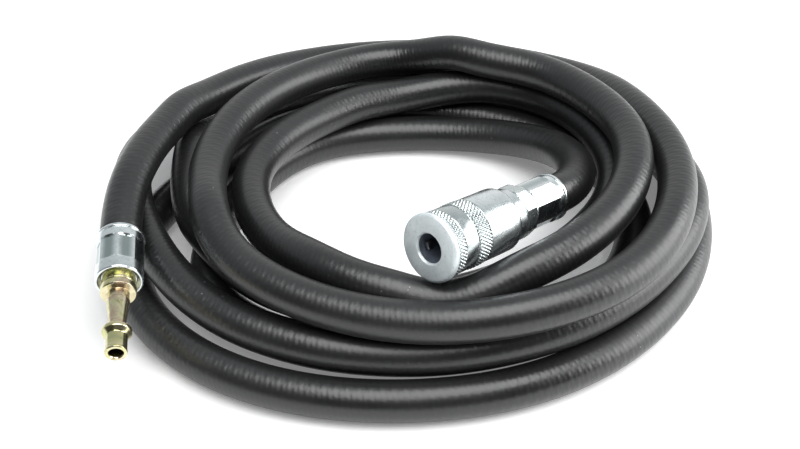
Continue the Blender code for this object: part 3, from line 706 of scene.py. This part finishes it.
def stands_for(piece, node, body):
    """A detailed piece rides where the node does and takes its place."""
    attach(piece, body)
    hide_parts(node)
    return piece


def turned_on(axis, degrees):
    """The same axis turned about itself."""
    return axis @ Matrix.Rotation(math.radians(degrees), 4, "X")


# ---------------------------------------------------------------- coupler

SOCKET_BORE = 5.75
SOCKET_RADIUS = 7.6
SOCKET_END = 25.0
SLEEVE_FRONT = 3.3
SLEEVE_END = 38.9
SLEEVE_RADIUS = 12.6
KNURL_RADIUS = 12.9
PAWL_RAMP = 0.36
RAMP_END = 8.0
BODY_RADIUS = 10.7
BODY_FRONT = 17.3
CHAMBER_RADIUS = 8.4
REAR_BORE = 9.2
SEAT_SHOULDER = 39.6
NUT_FRONT = 44.5
NUT_BACK = 50.5
NUT_FLATS = 8
NUT_TURN = 8.0
TAIL_BORE = 2.9
TAIL_STEM = 4.45
TAIL_RING = 6.3
BARB_VALLEY = 3.9
FRONT_KNURL = (SLEEVE_FRONT, 7.0)
REAR_KNURL = (14.2, 21.0)
COUPLER_FERRULE_CORNER = 9.45
COUPLER_CRIMP = (52.3, 66.5)
COUPLER_CRIMP_TURN = 12.0    # degrees about the coupler's axis


def nose_ring(zinc):
    """The face of the coupler: a flat annulus, a wide bevel and a turned line behind it."""
    outline = rounded([
        (0.7, SOCKET_BORE), (0, SOCKET_BORE + 0.5), (0, NOSE_RADIUS - 1.1),
        (0.3, NOSE_RADIUS - 0.5), (0.9, NOSE_RADIUS), (2.0, NOSE_RADIUS),
        (2.15, NOSE_RADIUS - 0.2), (2.6, NOSE_RADIUS - 0.45), (3.0, NOSE_RADIUS - 0.9),
        (3.0, SOCKET_RADIUS + GAP), (1.3, SOCKET_RADIUS + GAP), (1.3, SOCKET_BORE),
    ], 0.15)
    piece = lathe("nose_ring_detail", outline, zinc, COUPLER_AXIS)
    stands_for(piece, "coupler_nose_ring", ROOT)


def knurl_reach(along, radius, angle, knurled=0):
    """Diamond knurling: two sets of slanting V grooves leave rows of small pyramids."""
    if not knurled:
        return radius
    turn = KNURL_COUNT * angle / (2 * math.pi)
    height = 1.0
    for slant in (along / KNURL_SLANT, -along / KNURL_SLANT):
        off = abs((turn + slant) % 1.0 - 0.5) * 2
        height = min(height, off / 0.75)
    return radius - KNURL_DEPTH * (1.0 - height)


def knurled_band(front, back):
    """Outline points close enough together to carry the knurling, with chamfered ends."""
    count = int((back - front - 0.6) / 0.2)
    start, run = front + 0.3, back - front - 0.6
    band = [(start + run * step / count, KNURL_RADIUS, 1) for step in range(count + 1)]
    edge = KNURL_RADIUS - KNURL_DEPTH
    return [(front, edge, 0), *band, (back, edge, 0)]


def sleeve(zinc):
    """The long release sleeve: two knurled bands, a plain band between, then a smooth barrel."""
    skirt = BODY_RADIUS + GAP
    ramp_front = SOCKET_RADIUS + GAP + PAWL_RAMP * (RAMP_END - SLEEVE_FRONT)
    plain = SLEEVE_RADIUS
    outline = [
        (SLEEVE_FRONT, ramp_front, 0),
        *knurled_band(*FRONT_KNURL),
        (7.1, plain - 0.1, 0), (7.3, plain, 0), (13.6, plain, 0), (13.75, plain - 0.3, 0),
        (14.1, plain - 0.3, 0),
        *knurled_band(*REAR_KNURL),
        (21.1, plain - 0.05, 0), (21.4, plain, 0), (36.5, plain, 0), (37.6, plain - 0.06, 0),
        (38.1, plain - 0.2, 0), (38.5, plain - 0.5, 0), (38.8, plain - 0.9, 0),
        (SLEEVE_END, plain - 1.2, 0), (SLEEVE_END, skirt + 0.15, 0), (38.75, skirt, 0),
        (13.0, skirt, 0), (13.0, 10.0, 0), (RAMP_END + 1, 10.0, 0),
        (RAMP_END + 1, SOCKET_RADIUS + GAP, 0), (RAMP_END, SOCKET_RADIUS + GAP, 0),
    ]
    piece = lathe("sleeve_detail", outline, zinc, COUPLER_AXIS, KNURL_SIDES, knurl_reach, 50)
    stands_for(piece, "release_sleeve", "sleeve")


def body(zinc):
    """The fixed body, whose end shows as a collar behind the sleeve."""
    outline = rounded([
        (BODY_FRONT, SOCKET_RADIUS + GAP), (BODY_FRONT, BODY_RADIUS - 0.4),
        (BODY_FRONT + 0.4, BODY_RADIUS), (BODY_END - 0.5, BODY_RADIUS),
        (BODY_END - 0.1, BODY_RADIUS - 0.35), (BODY_END, BODY_RADIUS - 0.6),
        (BODY_END, REAR_BORE), (SEAT_SHOULDER, REAR_BORE), (SEAT_SHOULDER, CHAMBER_RADIUS),
        (SOCKET_END + GAP, CHAMBER_RADIUS), (SOCKET_END + GAP, SOCKET_RADIUS + GAP),
    ])
    piece = lathe("body_detail", outline, zinc, COUPLER_AXIS)
    stands_for(piece, "coupler_body", ROOT)


def barbs(front, end):
    """The tail under the hose, from its root to its end and back to the bore."""
    outline = [(front, TAIL_STEM)]
    along = front + 2.5
    while along + 6.0 < end:
        outline += [(along, TAIL_STEM), (along, BARB_VALLEY)]
        along += 6.0
    return outline + [(along, TAIL_STEM), (end, BARB_VALLEY), (end, TAIL_BORE)]


def coupler_tail(zinc):
    """The nut, its corners chamfered by a circle, and the barbed tail behind it."""
    spigot = REAR_BORE - GAP
    front = SEAT_SHOULDER + 1.1 + 2 * GAP
    flat = NUT_CORNER * math.cos(math.pi / NUT_FLATS)
    plain = [
        (front, TAIL_BORE), (front, spigot), (front + 0.7, spigot), (front + 0.7, 7.6),
        (front + 2.1, 7.6), (front + 2.1, spigot), (NUT_FRONT, spigot), (NUT_FRONT, flat - 0.3),
    ]
    chamfer = 0.5
    steps = 5
    faces = []
    for step in range(steps + 1):
        faces.append((NUT_FRONT + chamfer * step / steps, NUT_CORNER, NUT_FLATS, 0.0))
    for step in range(steps + 1):
        faces.append((NUT_BACK - chamfer * (1 - step / steps), NUT_CORNER, NUT_FLATS, 0.0))
    neck = NUT_BACK + GAP
    rear = [(NUT_BACK, TAIL_RING), (neck, TAIL_RING), *barbs(neck, COUPLER_LENGTH - 1)]

    def nut_reach(along, radius, angle, flats=0, ridge=0.0):
        if not flats:
            return radius
        inset = max(0.0, chamfer - min(along - NUT_FRONT, NUT_BACK - along)) / chamfer
        circle = flat - 0.1 + (NUT_CORNER + 0.05 - flat) * (1 - inset ** 2)
        return min(plain_reach(along, radius, angle, flats), circle)

    outline = [*rounded(plain, 0.12, closed=False), *faces, *rounded(rear, 0.12, closed=False)]
    piece = lathe("coupler_tail_detail", outline, zinc, turned_on(COUPLER_AXIS, NUT_TURN),
                  reach=nut_reach)
    stands_for(piece, "coupler_tail", ROOT)


def crimped_ferrule(name, node, front, end, corner, crimp, finish, axis):
    """A cup with a countersunk front, eight pressed flats with raised ridges, and a bead."""
    wall = corner - 1.4
    blend = 0.7
    groove = 0.25

    def crimp_reach(along, radius, angle, pressed=0):
        if not pressed:
            return radius
        entry = min(along - crimp[0], crimp[1] - along) / blend
        share = min(1.0, max(0.0, entry))
        share = share * share * (3 - 2 * share)
        flat = plain_reach(along, corner, angle, CRIMP_FLATS, 0.2)
        return radius + (min(flat, radius) - radius) * share

    band = [(crimp[0] + (crimp[1] - crimp[0]) * step / 32, corner, 1) for step in range(33)]
    head = rounded([
        (front + FERRULE_CUP, TAIL_STEM + 0.35), (front + FERRULE_SEAT, TAIL_STEM + 0.35),
        (front + FERRULE_SEAT, TAIL_RING + GAP), (front + 0.3, 8.0), (front, 8.15),
        (front, corner - 0.55), (front + 0.15, corner - 0.2), (front + 0.6, corner),
        (crimp[0] - 0.1, corner),
    ], 0.12, closed=False)
    mouth = rounded([
        (crimp[1] + 0.1, corner), (end - 2.2, corner), (end - 2.05, corner - groove),
        (end - 1.8, corner - groove), (end - 1.65, corner + 0.1), (end - 1.4, corner + BEAD),
        (end - 0.5, corner + BEAD), (end - 0.1, corner - 0.15), (end, corner - 0.5),
        (end - 0.2, wall), (front + FERRULE_CUP, wall),
    ], 0.2, closed=False)
    outline = [(*point[:2], 0) for point in head] + band + [(*point[:2], 0) for point in mouth]
    piece = lathe(name, outline, finish, axis, 192, crimp_reach, 40)
    stands_for(piece, node, ROOT)


# ---------------------------------------------------------------- plug

PLUG_BORE = 2.6
COLLAR_FRONT = 28.0
COLLAR_BACK = 31.1
PLUG_CRIMP = (39.5, 51.3)


def plug_probe(gold):
    """Tip, tube, locking collar, neck, cone and big collar."""
    joint = COLLAR_FRONT + 0.6
    outline = rounded([
        (0.5, PLUG_BORE), (0, PLUG_BORE + 0.3), (0, 3.8), (0.25, 4.1), (0.9, 4.15), (1.15, 3.95),
        (7.5, 3.95), (7.9, 4.25), (9.1, 5.4), (9.4, 5.5), (10.6, 5.5), (10.9, 5.25), (10.9, 3.35),
        (16.1, 3.35), (24.3, 4.4), (24.6, 4.15), (COLLAR_FRONT, 4.15),
        (COLLAR_FRONT, PLUG_COLLAR - 0.35), (COLLAR_FRONT + 0.35, PLUG_COLLAR),
        (COLLAR_BACK - 0.35, PLUG_COLLAR), (COLLAR_BACK, PLUG_COLLAR - 0.35), (COLLAR_BACK, 4.2),
        (joint, 4.2), (joint, PLUG_BORE),
    ], 0.12)
    piece = lathe("probe_detail", outline, gold, PLUG_AXIS)
    stands_for(piece, "plug_probe", ROOT)


def plug_tail(gold):
    """The ring between the big collar and the ferrule, and the barbed tail."""
    front = COLLAR_FRONT + 0.6 + GAP
    shoulder = COLLAR_BACK + GAP
    shoulder_back = PLUG_FERRULE + FERRULE_SEAT - GAP
    outline = rounded([
        (front, PLUG_BORE + 0.3), (front, 3.9), (shoulder, 3.9), (shoulder, TAIL_RING - 0.3),
        (shoulder + 0.3, TAIL_RING), (shoulder_back, TAIL_RING), (shoulder_back, TAIL_STEM),
        *barbs(shoulder_back + 0.1, PLUG_LENGTH - 1),
    ], 0.12)
    piece = lathe("plug_tail_detail", outline, gold, PLUG_AXIS)
    stands_for(piece, "plug_tail", ROOT)


# ---------------------------------------------------------------- inner pieces

def pawl(number, steel):
    """A locking pawl: a wedge with a hooked tip, softened all over."""
    half, front, back, tip = 1.5, 4.3, 7.5, 4.3
    mesh_data = bmesh.new()
    corners = []
    for along in (front, back):
        lift = SOCKET_RADIUS + PAWL_RAMP * (RAMP_END - along)
        top = math.sqrt(lift ** 2 - half ** 2) - 0.1
        low = tip if along == front else tip + 0.5
        corners.append([(along, -half, low), (along, half, low), (along, half, top),
                        (along, -half, top)])
    rings = [[mesh_data.verts.new(Vector(spot) * MM) for spot in ring] for ring in corners]
    for side in range(4):
        after = (side + 1) % 4
        mesh_data.faces.new((rings[0][side], rings[1][side], rings[1][after], rings[0][after]))
    mesh_data.faces.new(rings[0])
    mesh_data.faces.new(list(reversed(rings[1])))
    bmesh.ops.bevel(mesh_data, geom=mesh_data.edges[:], offset=0.25 * MM, segments=3,
                    affect="EDGES", profile=0.5)
    turn = Matrix.Rotation(2 * math.pi * (number - 1) / 3, 4, "X")
    piece = finish_mesh(f"pawl_{number}_detail", mesh_data, steel, COUPLER_AXIS @ turn)
    stands_for(piece, f"latch_pawl_{number}", f"pawl_{number}")


def wire_spring(name, node, front, back, mean_radius, wire, turns, finish):
    """A compression spring of round wire."""
    steps = int(36 * turns)
    sides = 12
    mesh_data = bmesh.new()
    rings = []
    for step in range(steps + 1):
        share = step / steps
        angle = 2 * math.pi * turns * share
        along = front + wire + (back - front - 2 * wire) * share
        ring = []
        for side in range(sides):
            turn = 2 * math.pi * side / sides
            far = mean_radius + wire * math.cos(turn)
            spot = Vector((along + wire * math.sin(turn), far * math.cos(angle),
                           far * math.sin(angle)))
            ring.append(mesh_data.verts.new(spot * MM))
        rings.append(ring)
    for first, second in zip(rings, rings[1:]):
        for side in range(sides):
            after = (side + 1) % sides
            mesh_data.faces.new((first[side], second[side], second[after], first[after]))
    mesh_data.faces.new(rings[0])
    mesh_data.faces.new(list(reversed(rings[-1])))
    piece = finish_mesh(name, mesh_data, finish, COUPLER_AXIS)
    stands_for(piece, node, ROOT)
    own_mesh(piece)


def seal_ring(name, node, body, front, back, inner, outer, rubber):
    """A rubber ring with rounded edges."""
    outline = rounded([(front, inner), (front, outer), (back, outer), (back, inner)], 0.4)
    piece = lathe(name, outline, rubber, COUPLER_AXIS)
    stands_for(piece, node, body)


def inner_pieces():
    steel = plated_steel("spring_steel", (0.62, 0.63, 0.65), 0.25)
    rubber = nitrile()
    for number in (1, 2, 3):
        pawl(number, steel)
    seat = SEAT_SHOULDER + GAP
    wire_spring("sleeve_spring_detail", "sleeve_spring", RAMP_END + 1 + GAP, BODY_FRONT - GAP,
                8.8, 0.5, 4, steel)
    wire_spring("valve_spring_detail", "valve_spring", 28.9, seat - GAP, 5.0, 0.5, 5, steel)
    seal_ring("front_seal_detail", "front_seal", ROOT, 15.8, 17.0, 4.25, 5.85, rubber)
    seal_ring("valve_seal_detail", "valve_seal", "valve", 25.3, 26.3, 4.8, 6.4, rubber)
    seal_ring("body_seal_detail", "body_seal", ROOT, 42.3, 43.1, 7.9, 8.9, rubber)
    outline = rounded([(seat, 3.2), (seat, 8.9), (seat + 1.1, 8.9), (seat + 1.1, 3.2)], 0.2)
    ring = lathe("spring_seat_detail", outline, steel, COUPLER_AXIS)
    stands_for(ring, "spring_seat", ROOT)
    brass = plated_steel("turned_brass", (0.30, 0.27, 0.20), 0.4)
    for node, finish in (("coupler_socket", dark_bore()), ("valve_poppet", brass)):
        frame["nodes"][node].data.materials[0] = finish


def coupler():
    nose_ring(plated_steel("nose_zinc", (0.86, 0.93, 0.95), 0.42, metallic=0.45))
    zinc = plated_steel("coupler_zinc", (0.80, 0.85, 0.86), 0.2)
    # the knurl's valleys get painted shade, darkest at their bottoms
    valley = KNURL_RADIUS - KNURL_DEPTH
    grooves = (valley + 0.08, valley + 0.34, SLEEVE_FRONT, 22.0, (0.34, 0.38, 0.38))
    sleeve(plated_steel("knurled_zinc", (0.80, 0.85, 0.86), 0.2, shaded_recess=grooves))
    body(zinc)
    coupler_tail(plated_steel("nut_zinc", (0.74, 0.80, 0.80), 0.2))
    # the pressed flats of the crimp get painted shade, darker than the round band
    pressed = (8.75, 9.25, 52.6, 66.2, (0.40, 0.46, 0.46))
    finish = plated_steel("ferrule_zinc", (0.82, 0.87, 0.88), 0.16, shaded_recess=pressed)
    crimped_ferrule("coupler_ferrule_detail", "coupler_ferrule", COUPLER_FERRULE, COUPLER_LENGTH,
                    COUPLER_FERRULE_CORNER, COUPLER_CRIMP, finish,
                    turned_on(COUPLER_AXIS, COUPLER_CRIMP_TURN))


def plug():
    gold = yellow_plate()
    plug_probe(gold)
    plug_tail(gold)
    # the pressed flats of the crimp get painted shade, darker than the round band
    pressed = (8.5, 8.95, 39.8, 51.0, (0.34, 0.40, 0.39))
    finish = plated_steel("plug_ferrule_zinc", (0.84, 0.89, 0.90), 0.16, shaded_recess=pressed)
    crimped_ferrule("plug_ferrule_detail", "plug_ferrule", PLUG_FERRULE, PLUG_LENGTH,
                    PLUG_FERRULE_CORNER, PLUG_CRIMP, finish, PLUG_AXIS)


# ---------------------------------------------------------------- make everything

COUPLER_NODES = ["coupler_socket", "valve_poppet"]

camera()
studio()
hose_piece, hose_centres = hose()
coupler()
plug()
inner_pieces()
carried = [piece for piece in bpy.data.objects
           if piece.name.endswith("_detail") and not piece.name.startswith(("plug", "probe"))]
carried += [frame["nodes"][name] for name in COUPLER_NODES]
